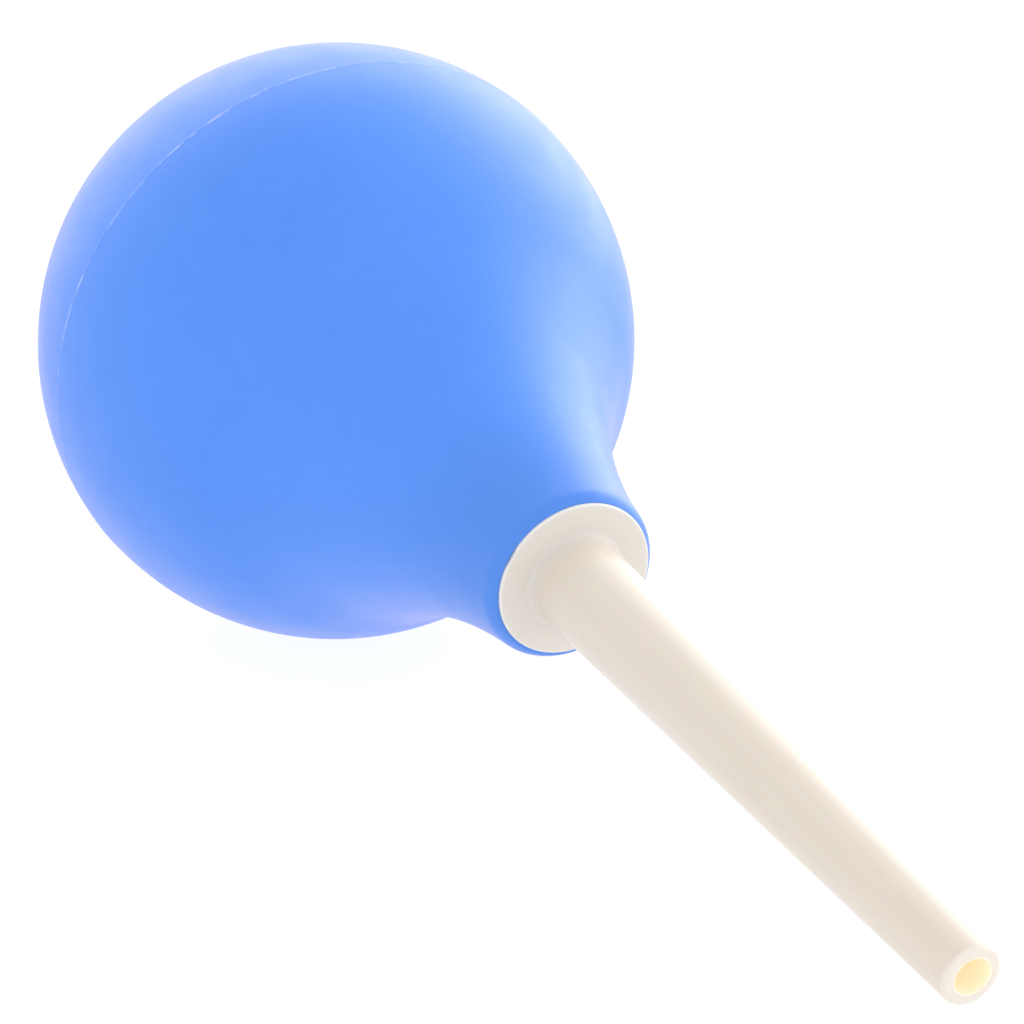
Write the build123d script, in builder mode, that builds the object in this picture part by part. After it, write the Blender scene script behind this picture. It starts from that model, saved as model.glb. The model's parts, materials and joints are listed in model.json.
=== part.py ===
from build123d import *

import os
from math import acos, asin, atan2, cos, degrees, hypot, radians, sin, sqrt

# A pipette filler bulb: a hollow soft ball with a short neck, and a tapered nozzle plugged into it.
#
# The part lies on a bench the way it comes to rest, with the ball and the nozzle's tip on Z = 0.
# Its long axis lies in the XZ plane and falls towards +X, where the tip is.
# The origin is the bottom centre of the part's box. All lengths are in millimetres.
# A station is a distance along the long axis from the ball's centre, positive towards the tip.

# ---- driving dimensions: bulb ----
ball_radius = 30.1  # at the equator
ball_half_length = 29.55  # along the long axis: each half is a little shallower than a half sphere
wall = 2.2
mouth_station = 50.1  # end face of the neck
neck_radius = 8.0  # the flare would level out here if the lip didn't end it first
flare_start = 47.8  # degrees off the axis, where the neck's flare leaves the ball
lip_round = 1.9  # convex rounding from the flare over to the mouth
lip_setback = 1.5  # the rounding's centre is this far behind the mouth
neck_bore_radius = 5.9
chamber_flare_start = 30.0  # degrees off the axis, where the chamber turns into the neck bore
recess_radius = 7.73  # seat that the nozzle's flange drops into
recess_depth = 0.9
seam_bead_radius = 0.25  # mould parting line round the equator
seam_height = 0.1  # how far it stands proud of the ball

# ---- driving dimensions: nozzle ----
fit_clearance = 0.05  # radial, between the nozzle and the neck
flange_thickness = 1.2  # it stands a little proud of the mouth
flange_round = 0.25
tube_root_radius = 4.55  # where the tapered tube meets the flange
root_fillet = 0.6
tip_station = 116.1
tip_radius = 2.8
tip_round = 0.45
bore_radius = 1.7
bore_straight = 15.0  # cylindrical length of the bore, measured from the tip
bore_inner_radius = 2.5  # the bore widens to this at the spigot's inner end
spigot_length = 11.5
spigot_core_radius = 5.35
rib_count = 3
rib_pitch = 3.0
rib_land = 0.5  # flat crest of each rib
lead_in_length = 1.2  # taper on the spigot's inner end
lead_in_depth = 0.6

# ---- derived dimensions ----
seat_station = mouth_station - recess_depth
flange_station = seat_station + flange_thickness
spigot_station = seat_station - spigot_length
rib_radius = neck_bore_radius - fit_clearance
flange_radius = recess_radius - fit_clearance

# The ball is two spherical caps whose centres lie on the axis, each past the ball's centre, so that
# they meet at a blunt ridge round the equator.
cap_offset = (ball_radius**2 - ball_half_length**2) / (2 * ball_half_length)
cap_radius = ball_half_length + cap_offset

# ---- resting attitude ----
tip_ring_station = tip_station - tip_round
tip_ring_radius = tip_radius - tip_round


def resting_fall(height):
    """How far the axis falls, in radians, with a ball centre at that height and the tip on the bench."""
    lean = atan2(tip_ring_radius, tip_ring_station)
    return asin((height - tip_round) / hypot(tip_ring_station, tip_ring_radius)) - lean


def centre_height(fall):
    """Height of the ball's centre above the bench, with the bench touching the front cap."""
    return cap_radius - cap_offset * sin(fall)


fall = 0
for _ in range(5):  # settles to under a thousandth of a millimetre
    fall = resting_fall(centre_height(fall))
ball_height = centre_height(fall)
back_reach = cap_radius - cap_offset * cos(fall)
front_reach = tip_ring_station * cos(fall) + tip_ring_radius * sin(fall) + tip_round

ball_centre = Vector((back_reach - front_reach) / 2, 0, ball_height)
axis_direction = Vector(cos(fall), 0, -sin(fall))
long_axis = Axis(ball_centre, axis_direction)
# The half section of each piece is drawn here: x is the station, y the distance from the axis.
section_plane = Plane(ball_centre, x_dir=axis_direction, z_dir=(0, -1, 0))

os.makedirs("parts", exist_ok=True)


# ---- bulb: one soft hollow moulding ----
def ball_arcs(inset, flare_angle):
    """Draws the ball's section at a depth of inset below its skin, from the flare to the back pole."""
    cap = cap_radius - inset
    equator = degrees(acos(cap_offset / cap))
    CenterArc((-cap_offset, 0), cap, flare_angle, equator - flare_angle)
    CenterArc((cap_offset, 0), cap, 180 - equator, equator)


def flare_centre_and_radius(inset, flare_angle, end_radius):
    """The hollow arc that leaves the front cap at flare_angle and ends level with end_radius."""
    cap = cap_radius - inset
    angle = radians(flare_angle)
    radius = (cap * sin(angle) - end_radius) / (1 - sin(angle))
    centre = ((cap + radius) * cos(angle) - cap_offset, end_radius + radius)
    return centre, radius


flare_centre, flare_radius = flare_centre_and_radius(0, flare_start, neck_radius)
lip_station = mouth_station - lip_setback
lip_centre_radius = flare_centre[1] - sqrt(
    (flare_radius + lip_round) ** 2 - (flare_centre[0] - lip_station) ** 2
)
lip_angle = degrees(atan2(flare_centre[1] - lip_centre_radius, flare_centre[0] - lip_station))
lip_edge_angle = degrees(acos(lip_setback / lip_round))
lip_edge_radius = lip_centre_radius + lip_round * sin(radians(lip_edge_angle))

chamber_centre, chamber_radius = flare_centre_and_radius(
    wall, chamber_flare_start, neck_bore_radius
)
past_mouth = mouth_station + 1.0  # the hollow is cut out through the mouth

with BuildPart() as bulb:
    with BuildSketch(section_plane):
        with BuildLine():
            ball_arcs(0, flare_start)
            CenterArc(flare_centre, flare_radius, 180 + flare_start, lip_angle - flare_start)
            CenterArc(
                (lip_station, lip_centre_radius),
                lip_round,
                lip_edge_angle,
                lip_angle - lip_edge_angle,
            )
            Polyline((mouth_station, lip_edge_radius), (mouth_station, 0), (-ball_half_length, 0))
        make_face()
        with BuildLine():
            ball_arcs(wall, chamber_flare_start)
            CenterArc(
                chamber_centre, chamber_radius, 180 + chamber_flare_start, 90 - chamber_flare_start
            )
            Polyline(
                (chamber_centre[0], neck_bore_radius),
                (seat_station, neck_bore_radius),
                (seat_station, recess_radius),
                (past_mouth, recess_radius),
                (past_mouth, 0),
                (wall - ball_half_length, 0),
            )
        make_face(mode=Mode.SUBTRACT)
        with Locations((0, ball_radius + seam_height - seam_bead_radius)):
            Circle(seam_bead_radius)
    revolve(axis=long_axis)

bulb.part.label = "bulb"
export_step(bulb.part, "parts/bulb.step")

# ---- nozzle: one moulding of ribbed spigot, flange and tapered tube, bored right through ----
with BuildPart() as nozzle:
    with BuildSketch(section_plane):
        with BuildLine():
            Polyline(
                (spigot_station, 0),
                (spigot_station, spigot_core_radius - lead_in_depth),
                (spigot_station + lead_in_length, spigot_core_radius),
                (seat_station, spigot_core_radius),
                (seat_station, flange_radius),
                (flange_station, flange_radius),
                (flange_station, tube_root_radius),
                (tip_station, tip_radius),
                (tip_station, 0),
                close=True,
            )
        make_face()
        # Each rib ramps up towards the flange, so that it slides in and bites on the way out.
        for rib in range(rib_count):
            rib_end = seat_station - rib * rib_pitch
            with BuildLine():
                Polyline(
                    (rib_end - rib_pitch, spigot_core_radius),
                    (rib_end - rib_land, rib_radius),
                    (rib_end, rib_radius),
                    (rib_end, 0),
                    (rib_end - rib_pitch, 0),
                    close=True,
                )
            make_face()
        with BuildLine():
            Polyline(
                (spigot_station, 0),
                (spigot_station, bore_inner_radius),
                (tip_station - bore_straight, bore_radius),
                (tip_station, bore_radius),
                (tip_station, 0),
                close=True,
            )
        make_face(mode=Mode.SUBTRACT)
    revolve(axis=long_axis)
    circles = nozzle.edges().filter_by(GeomType.CIRCLE)
    flange_rim = circles.filter_by(lambda circle: abs(circle.radius - flange_radius) < 0.01)
    tube_root = circles.filter_by(lambda circle: abs(circle.radius - tube_root_radius) < 0.01)
    tube_end = circles.filter_by(lambda circle: abs(circle.radius - tip_radius) < 0.01)
    fillet(flange_rim.sort_by(long_axis)[-1], flange_round)
    fillet(tube_root, root_fillet)
    fillet(tube_end, tip_round)

nozzle.part.label = "nozzle"
export_step(nozzle.part, "parts/nozzle.step")

print("the long axis falls", round(degrees(fall), 4), "degrees from", ball_centre)
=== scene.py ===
import json
from math import acos, atan2, ceil, cos, degrees, hypot, pi, radians, sin, sqrt

import bpy
from mathutils import Matrix, Vector, noise


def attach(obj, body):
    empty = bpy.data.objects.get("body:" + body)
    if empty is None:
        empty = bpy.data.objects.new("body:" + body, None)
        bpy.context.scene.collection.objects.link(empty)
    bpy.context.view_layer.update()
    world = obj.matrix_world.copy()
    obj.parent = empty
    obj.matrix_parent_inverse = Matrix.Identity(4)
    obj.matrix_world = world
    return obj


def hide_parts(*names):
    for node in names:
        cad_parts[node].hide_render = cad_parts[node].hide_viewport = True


# A pipette filler bulb lying on a bench: a hollow ball of soft blue vinyl with a short neck,
# and an ivory plastic nozzle plugged into the neck.
#
# Both pieces are turned shapes about one long axis, so each mesh is lathed from its half section
# and then given the small unevenness of a real moulding.
# A station is a distance along the long axis from the ball's centre, positive towards the tip.
# Lengths are in metres, as in the frame.

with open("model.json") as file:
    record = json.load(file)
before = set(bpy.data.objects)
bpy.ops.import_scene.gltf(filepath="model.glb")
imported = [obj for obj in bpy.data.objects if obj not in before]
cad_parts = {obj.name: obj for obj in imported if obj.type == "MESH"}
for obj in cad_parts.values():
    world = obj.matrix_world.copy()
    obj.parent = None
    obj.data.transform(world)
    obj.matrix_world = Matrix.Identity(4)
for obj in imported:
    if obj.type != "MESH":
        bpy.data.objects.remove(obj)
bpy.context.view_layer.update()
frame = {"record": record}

MM = 0.001

# ---- where things are, from the frame ----
tip_mount = next(m for m in frame["record"]["mounts"] if m["name"] == "tip_bore")
tip_point = Vector(tip_mount["pos_m"])
axis_direction = Vector(tip_mount["axis"]).normalized()
bore_radius = tip_mount["dims"]["r_mm"] * MM
bore_straight = tip_mount["dims"]["length_mm"] * MM

# ---- driving dimensions: bulb ----
ball_radius = 30.1 * MM
ball_half_length = 29.55 * MM
wall = 2.2 * MM
mouth_station = 50.1 * MM
neck_radius = 8.0 * MM
flare_start = 47.8  # degrees off the axis, where the neck's flare leaves the ball
lip_round = 1.9 * MM
lip_setback = 1.5 * MM
neck_bore_radius = 5.9 * MM
chamber_flare_start = 30.0  # degrees off the axis, where the chamber turns into the neck bore
recess_depth = 0.9 * MM
seam_height = 0.05 * MM
seam_half_width = 0.15 * MM
seam_drift = 0.12 * MM  # most that it wanders off the equator, slowly
seam_jitter = 0.05 * MM  # and quickly
neck_lean = 0.12 * MM  # the soft neck is moulded this far off centre at its mouth
neck_lean_angle = 224.0  # degrees round the axis, from sideways towards upward
neck_lean_start = 34 * MM  # station
neck_lean_length = 12 * MM
waviness = 0.03 * MM  # the skin dips inwards by nought to twice this
waviness_size = 17 * MM  # from one dip to the next

# ---- driving dimensions: nozzle ----
flange_radius = 7.68 * MM
flange_thickness = 1.2 * MM
flange_round = 0.25 * MM
tube_root_radius = 4.55 * MM
root_fillet = 0.6 * MM
tip_station = 116.1 * MM
tip_radius = 2.8 * MM
tip_round = 0.45 * MM
bore_inner_radius = 2.5 * MM
spigot_length = 11.5 * MM
spigot_core_radius = 5.35 * MM
rib_radius = 5.85 * MM
rib_count = 3
rib_pitch = 3.0 * MM
rib_land = 0.5 * MM
lead_in_length = 1.2 * MM
lead_in_depth = 0.6 * MM
gate_angle = 155.0  # degrees round the axis, where the moulding gate was trimmed off the rim
gate_depth = 0.1 * MM
mesh_segments = 240  # round the axis, for both pieces
sharp_corner = 35.0  # degrees: a corner over this is shaded sharp

# ---- derived ----
recess_radius = flange_radius + 0.015 * MM  # closer than the CAD seat, so that no gap shows
seat_station = mouth_station - recess_depth
flange_station = seat_station + flange_thickness
spigot_station = seat_station - spigot_length
ball_centre = tip_point - axis_direction * tip_station
cap_offset = (ball_radius**2 - ball_half_length**2) / (2 * ball_half_length)
cap_radius = ball_half_length + cap_offset

# The axis frame: X along the long axis, Y sideways, Z away from the bench.
# Its origin is the ball's centre.
side = Vector((0, 1, 0))
upward = axis_direction.cross(side).normalized()
axis_frame = Matrix((axis_direction, side, upward)).transposed().to_4x4()
axis_frame.translation = ball_centre


# ---- half sections, as lists of (station, distance from the axis) ----
def arc(centre, radius, start, turn, step):
    """Points on a circular arc, about step apart."""
    count = max(2, ceil(abs(radians(turn)) * radius / step))
    angles = [radians(start + turn * i / count) for i in range(count + 1)]
    return [(centre[0] + radius * cos(a), centre[1] + radius * sin(a)) for a in angles]


def line(start, end, step):
    """Points on a straight line, about step apart."""
    run = end[0] - start[0]
    rise = end[1] - start[1]
    count = max(1, ceil(hypot(run, rise) / step))
    return [(start[0] + run * i / count, start[1] + rise * i / count) for i in range(count + 1)]


def joined(*runs):
    """One outline from runs that meet end to end, with each shared point kept once."""
    points = []
    for run in runs:
        if points and hypot(run[0][0] - points[-1][0], run[0][1] - points[-1][1]) < 1e-7:
            run = run[1:]
        points.extend(run)
    return points


def ball_skin(station):
    """The ball's outer radius at a station between the poles."""
    return sqrt(cap_radius**2 - (abs(station) + cap_offset) ** 2)


def outer_ball(step):
    """The skin from the back pole to the flare, with close rings where the parting line is."""
    band = 3 * seam_half_width
    rings = 30
    edge = degrees(acos((band + cap_offset) / cap_radius))
    seam = [-band + 2 * band * i / rings for i in range(rings + 1)]
    return joined(
        arc((cap_offset, 0), cap_radius, 180, -edge, step),
        [(station, ball_skin(station)) for station in seam],
        arc((-cap_offset, 0), cap_radius, edge, flare_start - edge, step),
    )


def chamber(step):
    """The inner wall from the neck's end of the air chamber to its back pole."""
    cap = cap_radius - wall
    equator = degrees(acos(cap_offset / cap))
    return joined(
        arc((-cap_offset, 0), cap, chamber_flare_start, equator - chamber_flare_start, step),
        arc((cap_offset, 0), cap, 180 - equator, equator, step),
    )


def flare_centre_and_radius(inset, flare_angle, end_radius):
    """The hollow arc that leaves the front cap at flare_angle and ends level with end_radius."""
    cap = cap_radius - inset
    angle = radians(flare_angle)
    radius = (cap * sin(angle) - end_radius) / (1 - sin(angle))
    centre = ((cap + radius) * cos(angle) - cap_offset, end_radius + radius)
    return centre, radius


def bulb_outline():
    centre, radius = flare_centre_and_radius(0, flare_start, neck_radius)
    lip_station = mouth_station - lip_setback
    lip_centre = centre[1] - sqrt((radius + lip_round) ** 2 - (centre[0] - lip_station) ** 2)
    lip_angle = degrees(atan2(centre[1] - lip_centre, centre[0] - lip_station))
    lip_edge = degrees(acos(lip_setback / lip_round))
    inner_centre, inner_radius = flare_centre_and_radius(
        wall, chamber_flare_start, neck_bore_radius
    )
    return joined(
        outer_ball(0.6 * MM),
        arc(centre, radius, 180 + flare_start, lip_angle - flare_start, 0.35 * MM),
        arc((lip_station, lip_centre), lip_round, lip_angle, lip_edge - lip_angle, 0.1 * MM),
        line((mouth_station, recess_radius), (seat_station, recess_radius), 0.3 * MM),
        line((seat_station, recess_radius), (seat_station, neck_bore_radius), 0.6 * MM),
        line((seat_station, neck_bore_radius), (inner_centre[0], neck_bore_radius), 1.5 * MM),
        arc(inner_centre, inner_radius, 270, chamber_flare_start - 90, 1 * MM),
        chamber(2 * MM),
    )


def spigot_outline():
    """From the bore's inner end, over the lead-in taper and the ribs, to the flange's back."""
    points = [
        (spigot_station, bore_inner_radius),
        (spigot_station, spigot_core_radius - lead_in_depth),
        (spigot_station + lead_in_length, spigot_core_radius),
    ]
    for rib in reversed(range(rib_count)):
        rib_end = seat_station - rib * rib_pitch
        points.append((rib_end - rib_pitch * 0.98, spigot_core_radius))
        points.append((rib_end - rib_land, rib_radius))
        points.append((rib_end, rib_radius))
        if rib:
            points.append((rib_end, spigot_core_radius))
    return points


def nozzle_outline():
    taper = degrees(atan2(tube_root_radius - tip_radius, tip_station - flange_station))
    rim_station = flange_station - flange_round
    rim_radius = flange_radius - flange_round
    root_station = flange_station + root_fillet
    ring_station = tip_station - tip_round
    ring_radius = tip_radius - tip_round
    root_centre = (root_station, tube_root_radius + root_fillet)
    root = arc(root_centre, root_fillet, 180, 90 - taper, 0.1 * MM)
    bore_step = tip_station - bore_straight
    return joined(
        spigot_outline(),
        line((seat_station, rib_radius), (seat_station, flange_radius), 0.8 * MM),
        line((seat_station, flange_radius), (rim_station, flange_radius), 0.4 * MM),
        arc((rim_station, rim_radius), flange_round, 90, -90, 0.05 * MM),
        line((flange_station, rim_radius), root[0], 0.35 * MM),
        root,
        line(root[-1], (ring_station, tip_radius), 1 * MM),
        arc((ring_station, ring_radius), tip_round, 90, -90, 0.05 * MM),
        line((tip_station, ring_radius), (tip_station, bore_radius), 0.15 * MM),
        line((tip_station, bore_radius), (bore_step, bore_radius), 1 * MM),
        line((bore_step, bore_radius), (spigot_station, bore_inner_radius), 2 * MM),
    )


# ---- the unevenness of real mouldings ----
def ripple(place, size):
    """Smooth noise from -1 to 1 whose bumps are about size across."""
    return noise.noise(Vector(place) / size)


def uneven_bulb(station, radius, angle):
    """The ball's inward waviness, the parting line's uneven ridge and the neck's lean."""
    place = (station, radius * cos(angle), radius * sin(angle))
    if radius > 6 * MM and station < mouth_station - 2 * MM:
        dip = waviness * (1 + ripple(place, waviness_size))
        length = hypot(station, radius)
        station -= dip * station / length
        radius -= dip * radius / length
    if radius > ball_radius - 1 * MM and abs(station) < 3 * seam_half_width:
        drift = seam_drift * ripple((10 * angle, 0, 0), 2.0)
        drift = drift + seam_jitter * ripple((60 * angle, 1, 0), 1.0)
        reach = abs(station - drift) / seam_half_width
        strength = 0.55 + 0.6 * ripple((25 * angle, 5, 0), 1.0)
        if reach < 1:
            radius += seam_height * max(0.1, min(1, strength)) * cos(reach * pi / 2) ** 2
    if station > neck_lean_start and radius > recess_radius + 0.01 * MM:
        share = min(1, (station - neck_lean_start) / neck_lean_length)
        lean = neck_lean * share * cos(angle - radians(neck_lean_angle))
        radius = max(radius + lean, recess_radius + 0.02 * MM)
    return station, radius


def trimmed_nozzle(station, radius, angle):
    """The flange's rim is cut to a short flat where the moulding gate was."""
    flat = (flange_radius - gate_depth) / max(0.5, cos(angle - radians(gate_angle)))
    return station, min(radius, flat)


# ---- meshes ----
def lathed(name, outline, uneven, closed=False):
    """A mesh turned from outline about the long axis, each point moved by uneven."""
    vertices = []
    rings = []
    for station, radius in outline:
        first = len(vertices)
        if radius < 1e-7:
            vertices.append((station, 0, 0))
            rings.append([first] * mesh_segments)
            continue
        for i in range(mesh_segments):
            angle = 2 * pi * i / mesh_segments
            s, r = uneven(station, radius, angle)
            vertices.append((s, r * cos(angle), r * sin(angle)))
        rings.append(list(range(first, first + mesh_segments)))
    pairs = list(zip(rings, rings[1:]))
    if closed:
        pairs.append((rings[-1], rings[0]))
    faces = []
    for near, far in pairs:
        for i in range(mesh_segments):
            j = (i + 1) % mesh_segments
            corners = [near[i], near[j], far[j], far[i]]
            faces.append(list(dict.fromkeys(corners)))
    mesh = bpy.data.meshes.new(name)
    mesh.from_pydata(vertices, [], faces)
    mesh.transform(axis_frame)
    mesh.validate()
    mesh.shade_smooth()
    mesh.set_sharp_from_angle(angle=radians(sharp_corner))
    piece = bpy.data.objects.new(name, mesh)
    bpy.context.scene.collection.objects.link(piece)
    return piece


# ---- materials ----
class Nodes:
    """A node tree, with short calls for the few kinds of node that are used here."""

    def __init__(self, tree):
        self.tree = tree

    def link(self, source, socket):
        self.tree.links.new(source, socket)

    def feed(self, value, socket):
        """Puts a socket's output or a plain value into a socket."""
        if isinstance(value, bpy.types.NodeSocket):
            self.link(value, socket)
        else:
            socket.default_value = value

    def math(self, operation, *values):
        made = self.tree.nodes.new("ShaderNodeMath")
        made.operation = operation
        for value, socket in zip(values, made.inputs):
            self.feed(value, socket)
        return made.outputs[0]

    def vector_math(self, operation, first, second=None, output="Vector"):
        made = self.tree.nodes.new("ShaderNodeVectorMath")
        made.operation = operation
        self.link(first, made.inputs[0])
        if second is not None:
            made.inputs[1].default_value = second
        return made.outputs[output]

    def part(self, vector, name):
        """One of a vector's components."""
        made = self.tree.nodes.new("ShaderNodeSeparateXYZ")
        self.link(vector, made.inputs[0])
        return made.outputs[name]

    def ramp(self, value, low, high, out_low=0.0, out_high=1.0):
        """value's range from low to high, smoothly spread over out_low to out_high."""
        made = self.tree.nodes.new("ShaderNodeMapRange")
        made.interpolation_type = "SMOOTHSTEP"
        self.link(value, made.inputs["Value"])
        made.inputs["From Min"].default_value = low
        made.inputs["From Max"].default_value = high
        made.inputs["To Min"].default_value = out_low
        made.inputs["To Max"].default_value = out_high
        return made.outputs["Result"]

    def mix(self, amount, first, second):
        """first where amount is 0, going over to second where it is 1."""
        made = self.tree.nodes.new("ShaderNodeMix")
        made.data_type = "RGBA"
        self.feed(amount, made.inputs["Factor"])
        self.feed(first, made.inputs[6])
        self.feed(second, made.inputs[7])
        return made.outputs[2]


class Shading(Nodes):
    """A material whose textures are placed in the axis frame."""

    def __init__(self, name):
        self.material = bpy.data.materials.new(name)
        self.material.use_nodes = True
        super().__init__(self.material.node_tree)
        self.shader = self.tree.nodes["Principled BSDF"]
        coordinates = self.tree.nodes.new("ShaderNodeTexCoord")
        to_axis = self.tree.nodes.new("ShaderNodeMapping")
        to_axis.vector_type = "TEXTURE"
        to_axis.inputs["Location"].default_value = ball_centre
        to_axis.inputs["Rotation"].default_value = axis_frame.to_euler()
        self.link(coordinates.outputs["Object"], to_axis.inputs["Vector"])
        self.place = to_axis.outputs["Vector"]
        self.station = self.part(self.place, "X")

    def noise(self, size, detail=2.0, roughness=0.5, place=None):
        """Noise from 0 to 1 whose bumps are about size across."""
        made = self.tree.nodes.new("ShaderNodeTexNoise")
        self.link(place or self.place, made.inputs["Vector"])
        made.inputs["Scale"].default_value = 1 / size
        made.inputs["Detail"].default_value = detail
        made.inputs["Roughness"].default_value = roughness
        return made.outputs["Fac"]

    def specks(self, spacing, speck_radius, offset):
        """1 inside sparse round specks and 0 elsewhere."""
        moved = self.vector_math("ADD", self.place, offset)
        made = self.tree.nodes.new("ShaderNodeTexVoronoi")
        self.link(moved, made.inputs["Vector"])
        made.inputs["Scale"].default_value = 1 / spacing
        reach = speck_radius / spacing
        return self.ramp(made.outputs["Distance"], 0.6 * reach, reach, 1.0, 0.0)

    def bump(self, height, distance, under=None):
        """A normal bent by height, which stands for distance, over the normal under."""
        made = self.tree.nodes.new("ShaderNodeBump")
        made.inputs["Strength"].default_value = 1.0
        made.inputs["Distance"].default_value = distance
        self.link(height, made.inputs["Height"])
        if under is not None:
            self.link(under, made.inputs["Normal"])
        return made.outputs["Normal"]


def vinyl():
    """Soft blue vinyl: satin, faintly mottled and stippled, with stray dust, a paler seam and
    painted shade darkening the neck.
    """
    s = Shading("blue_vinyl")
    drift = s.noise(22 * MM, 3)
    mottle = s.noise(1.6 * MM, 3)
    colour = s.mix(s.ramp(drift, 0.3, 0.7), (0.069, 0.270, 0.88, 1), (0.077, 0.286, 0.91, 1))
    tint = s.math("MULTIPLY", s.ramp(mottle, 0.35, 0.75), 0.22)
    colour = s.mix(tint, colour, (0.089, 0.311, 0.95, 1))
    # Painted shade: the blue is darkened towards the neck, in place of the shade in the neck's
    # hollow.
    neck = s.ramp(s.station, 34 * MM, 48 * MM)
    colour = s.mix(neck, colour, (0.068, 0.258, 0.81, 1))
    seam = s.ramp(s.math("ABSOLUTE", s.station), 0.06 * MM, 0.2 * MM, 1.0, 0.0)
    worn = s.ramp(s.noise(3 * MM, 4, 0.6), 0.44, 0.64, 0.06, 0.8)
    colour = s.mix(s.math("MULTIPLY", seam, worn), colour, (0.42, 0.55, 0.96, 1))
    pale_dust = s.specks(9 * MM, 0.15 * MM, (0.013, 0.021, 0.008))
    colour = s.mix(pale_dust, colour, (0.7, 0.8, 0.95, 1))
    dark_dust = s.specks(11 * MM, 0.12 * MM, (0.031, 0.005, 0.017))
    colour = s.mix(dark_dust, colour, (0.05, 0.17, 0.6, 1))
    s.link(colour, s.shader.inputs["Base Color"])
    s.link(s.ramp(s.noise(5 * MM, 4), 0.3, 0.7, 0.36, 0.44), s.shader.inputs["Roughness"])
    stipple = s.bump(s.noise(0.28 * MM, 2), 0.006 * MM)
    s.link(s.bump(s.noise(3.5 * MM, 2), 0.02 * MM, under=stipple), s.shader.inputs["Normal"])
    s.shader.inputs["Specular Tint"].default_value = (1, 0.72, 1, 1)
    s.shader.inputs["Sheen Weight"].default_value = 0.24
    s.shader.inputs["Sheen Roughness"].default_value = 0.35
    s.shader.inputs["Sheen Tint"].default_value = (1, 0.68, 1, 1)
    s.shader.inputs["Subsurface Weight"].default_value = 0.1
    s.shader.inputs["Subsurface Radius"].default_value = (0.3, 0.5, 1.0)
    s.shader.inputs["Subsurface Scale"].default_value = 1.2 * MM
    return s.material


def ivory():
    """Ivory plastic: glossy, translucent, with faint flow streaks; painted light gives a cooler
    flange face, a highlight on its rim, a paler tip face and a warm glow in the bore.
    """
    s = Shading("ivory_plastic")
    stretched = s.vector_math("MULTIPLY", s.place, (0.06, 1, 1))
    streaks = s.noise(1.3 * MM, 3, place=stretched)
    colour = s.mix(s.ramp(streaks, 0.3, 0.7), (0.715, 0.643, 0.562, 1), (0.738, 0.668, 0.588, 1))
    clouds = s.noise(9 * MM, 2)
    colour = s.mix(s.math("MULTIPLY", clouds, 0.25), colour, (0.75, 0.685, 0.61, 1))
    # Painted light: the flange face is tinted cooler and brighter than the tube, in place of blue
    # light from the bulb behind it.
    flange = s.ramp(s.station, flange_station + 0.1 * MM, flange_station + 2 * MM, 1.0, 0.0)
    colour = s.mix(flange, colour, (0.768, 0.728, 0.675, 1))
    off_axis = s.vector_math("MULTIPLY", s.place, (0, 1, 1))
    distance = s.vector_math("LENGTH", off_axis, output="Value")
    # Painted highlight: a thin pale line on the flange's rim, in place of the light caught by its
    # rounded edge.
    rim = s.ramp(distance, flange_radius - 0.22 * MM, flange_radius - 0.08 * MM, 0.0, 1.0)
    colour = s.mix(rim, colour, (0.83, 0.82, 0.80, 1))
    # Painted light: the tip's end face is paler, in place of the glow it catches.
    tip_face_painted_light = s.ramp(s.station, tip_station - 0.5 * MM, tip_station - 0.1 * MM)
    colour = s.mix(tip_face_painted_light, colour, (0.82, 0.76, 0.69, 1))
    # Painted light: the bore gets a paler, warmer colour, in place of the light that comes
    # through the thin wall.
    inside = s.ramp(distance, bore_radius + 0.01 * MM, bore_radius + 0.1 * MM, 1.0, 0.0)
    colour = s.mix(inside, colour, (0.96, 0.88, 0.72, 1))
    s.link(colour, s.shader.inputs["Base Color"])
    s.link(s.ramp(streaks, 0.3, 0.7, 0.19, 0.25), s.shader.inputs["Roughness"])
    s.link(s.bump(s.noise(1.1 * MM, 2), 0.003 * MM), s.shader.inputs["Normal"])
    # Emission paints a glow in the bore near the tip, in place of the daylight that the thin wall
    # lets through.
    near_tip = s.ramp(s.station, tip_station - 30 * MM, tip_station - 3 * MM, 0.0, 0.15)
    s.link(s.math("MULTIPLY", inside, near_tip), s.shader.inputs["Emission Strength"])
    s.shader.inputs["Emission Color"].default_value = (1, 0.84, 0.6, 1)
    s.shader.inputs["Specular IOR Level"].default_value = 0.36
    s.shader.inputs["Subsurface Weight"].default_value = 0.28
    s.shader.inputs["Subsurface Radius"].default_value = (1.0, 0.88, 0.72)
    s.shader.inputs["Subsurface Scale"].default_value = 1.3 * MM
    return s.material


# ---- the two pieces ----
bulb = lathed("squeeze_bulb", bulb_outline(), uneven=uneven_bulb)
bulb.data.materials.append(vinyl())
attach(bulb, "bulb")
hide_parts("bulb")

nozzle = lathed("nozzle_moulding", nozzle_outline(), closed=True, uneven=trimmed_nozzle)
nozzle.data.materials.append(ivory())
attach(nozzle, "nozzle")
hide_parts("nozzle")


# ---- camera, floor and light ----
camera_azimuth = 61.64  # degrees
camera_elevation = 15.86
camera_distance = 401.26 * MM  # from the ball's centre, along the view
camera_right = 17.519 * MM  # off the ball's centre, across the view
camera_down = 17.053 * MM
sensor_width = 36.0  # in millimetres, as Blender wants it
camera_lens = 140.625
bench_size = 6.0
bench_glow = 0.93  # emission, so that the bench is as white as its surround
surround_light = 1.0
rear_panel_light = 1.3  # added to the surround's
flank_panel_light = 1.35


def view_axes(azimuth, elevation):
    """The camera's right, up and backward directions."""
    a = radians(azimuth)
    e = radians(elevation)
    right = Vector((cos(a), sin(a), 0))
    up = Vector((-sin(a) * sin(e), cos(a) * sin(e), cos(e)))
    back = Vector((sin(a) * cos(e), -cos(a) * cos(e), sin(e)))
    return right, up, back


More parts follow.
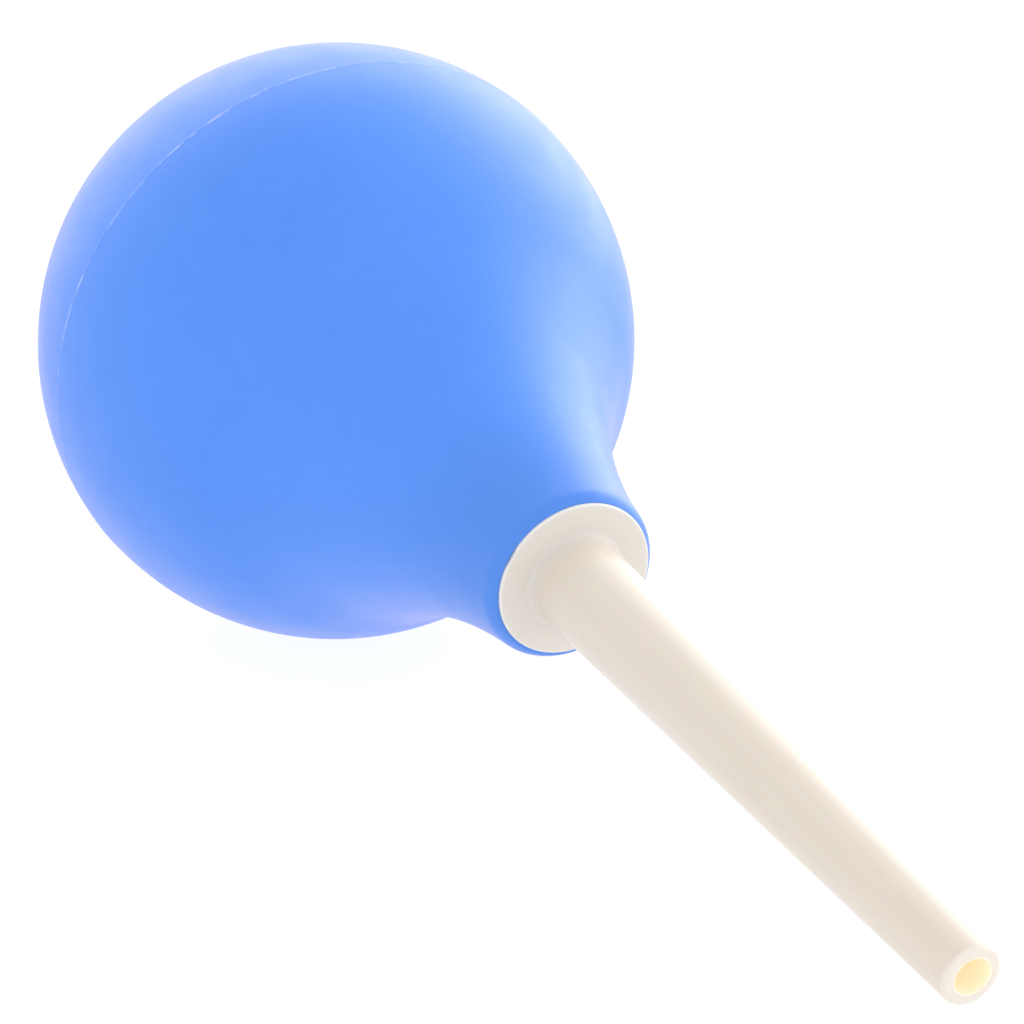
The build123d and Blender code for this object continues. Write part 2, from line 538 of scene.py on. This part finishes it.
def add_camera(right, up, back):
    data = bpy.data.cameras.new("camera")
    data.sensor_width = sensor_width
    data.lens = camera_lens
    data.clip_start = 0.01
    data.clip_end = 20
    eye = bpy.data.objects.new("camera", data)
    bpy.context.scene.collection.objects.link(eye)
    eye.matrix_world = Matrix((right, up, back)).transposed().to_4x4()
    eye.location = ball_centre + right * camera_right - up * camera_down + back * camera_distance
    bpy.context.scene.camera = eye


def add_bench():
    half = bench_size / 2
    mesh = bpy.data.meshes.new("bench")
    corners = [(-half, -half, 0), (half, -half, 0), (half, half, 0), (-half, half, 0)]
    mesh.from_pydata(corners, [], [(0, 1, 2, 3)])
    bench = bpy.data.objects.new("bench", mesh)
    bpy.context.scene.collection.objects.link(bench)
    material = bpy.data.materials.new("white_bench")
    material.use_nodes = True
    shader = material.node_tree.nodes["Principled BSDF"]
    shader.inputs["Base Color"].default_value = (0.14, 0.14, 0.14, 1)
    shader.inputs["Roughness"].default_value = 1.0
    shader.inputs["Specular IOR Level"].default_value = 0.0
    shader.inputs["Emission Color"].default_value = (1, 1, 1, 1)
    shader.inputs["Emission Strength"].default_value = bench_glow
    mesh.materials.append(material)


def add_sky(right, back):
    """An even white surround with two lit panels: a wide one behind, and one on the right."""
    world = bpy.data.worlds.new("studio")
    world.use_nodes = True
    sky = Nodes(world.node_tree)
    direction = sky.tree.nodes.new("ShaderNodeTexCoord").outputs["Generated"]
    height = sky.part(direction, "Z")
    behind = Vector((-back.x, -back.y, 0)).normalized()

    rear = sky.ramp(sky.vector_math("DOT_PRODUCT", direction, behind, output="Value"), 0.25, 0.7)
    below_top = sky.ramp(height, 0.78, 0.83, 1.0, 0.0)
    rear = sky.math("MULTIPLY", rear, below_top)
    rear = sky.math("MULTIPLY", rear, sky.ramp(height, 0.0, 0.6, 0.35, 1.0))

    flank = (right * 0.85 + behind * 0.5).normalized()
    beside = sky.ramp(sky.vector_math("DOT_PRODUCT", direction, flank, output="Value"), 0.5, 0.92)

    strength = sky.math("MULTIPLY_ADD", rear, rear_panel_light, surround_light)
    strength = sky.math("MULTIPLY_ADD", beside, flank_panel_light, strength)
    background = sky.tree.nodes["Background"]
    sky.link(strength, background.inputs["Strength"])
    background.inputs["Color"].default_value = (1, 1, 1, 1)
    bpy.context.scene.world = world


right, up, back = view_axes(camera_azimuth, camera_elevation)
add_camera(right, up, back)
add_bench()
add_sky(right, back)
bpy.context.scene.view_settings.view_transform = "Standard"
